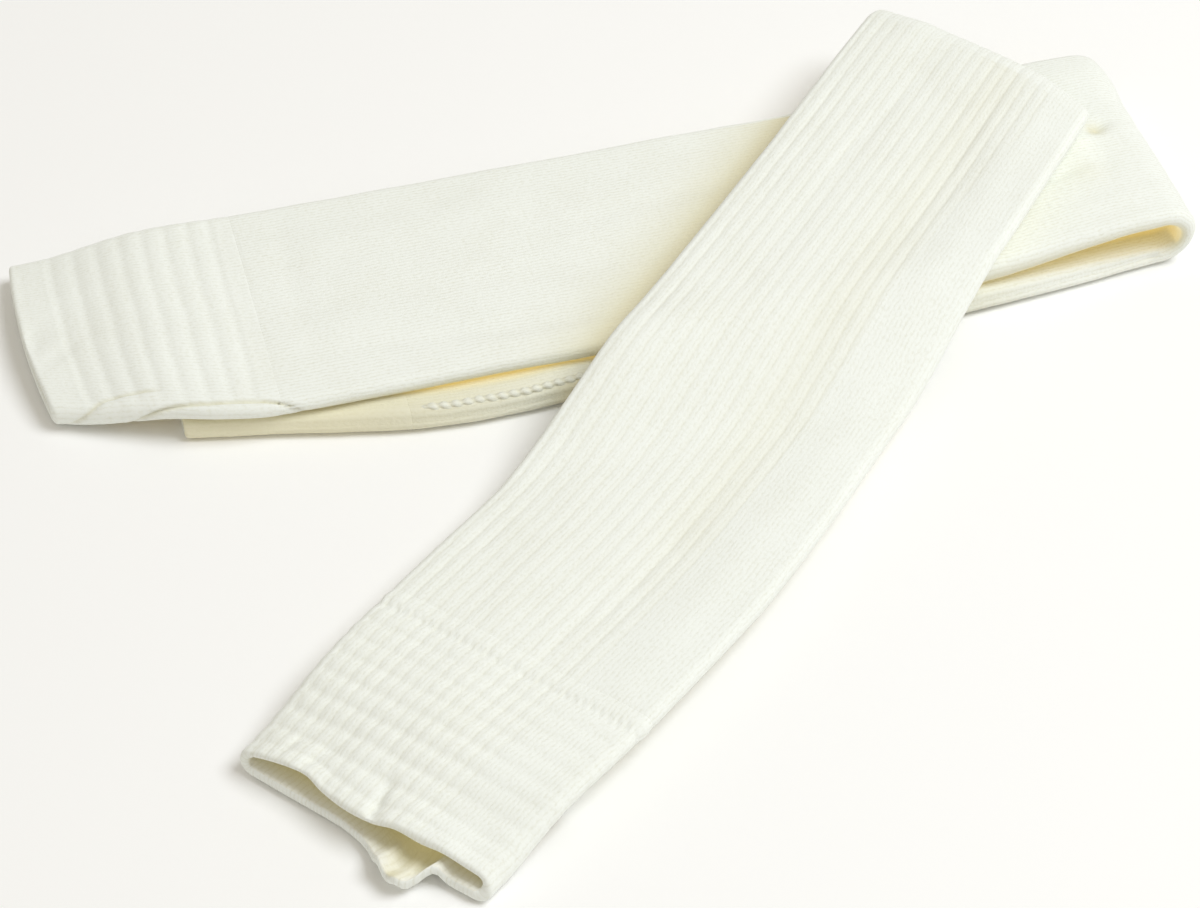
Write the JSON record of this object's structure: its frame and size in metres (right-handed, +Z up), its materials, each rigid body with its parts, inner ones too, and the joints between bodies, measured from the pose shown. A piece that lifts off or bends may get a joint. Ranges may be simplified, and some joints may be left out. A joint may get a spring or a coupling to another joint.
{
  "type": "pair of leg warmers",
  "caption": "Knitted leg warmers as flattened tubes with welted cuffs, each folded once across, the ribbed one laid slantwise over the plain one.",
  "frame": {"origin": "centre of the pair's box, on the surface that the pair lies on", "axes": "+Z up from that surface, +X to the viewer's right, -Y towards the viewer"},
  "size_m": [0.3896, 0.3576, 0.0369],
  "materials": {
    "plain_knit": "matte, fine plain knit",
    "ribbed_knit": "matte, lengthwise ribs",
    "welted_knit": "matte, crosswise welts"
  },
  "bodies": {
    "root": {"under_cuff": "welted_knit", "under_leg": "plain_knit", "under_fold": "plain_knit", "under_return": "plain_knit", "under_return_cuff": "welted_knit", "under_side_seam": "plain_knit", "over_cuff": "welted_knit", "over_leg": "ribbed_knit", "over_fold": "ribbed_knit", "over_return": "plain_knit", "over_return_cuff": "welted_knit", "over_side_seam": "plain_knit"}
  },
  "joints": []
}
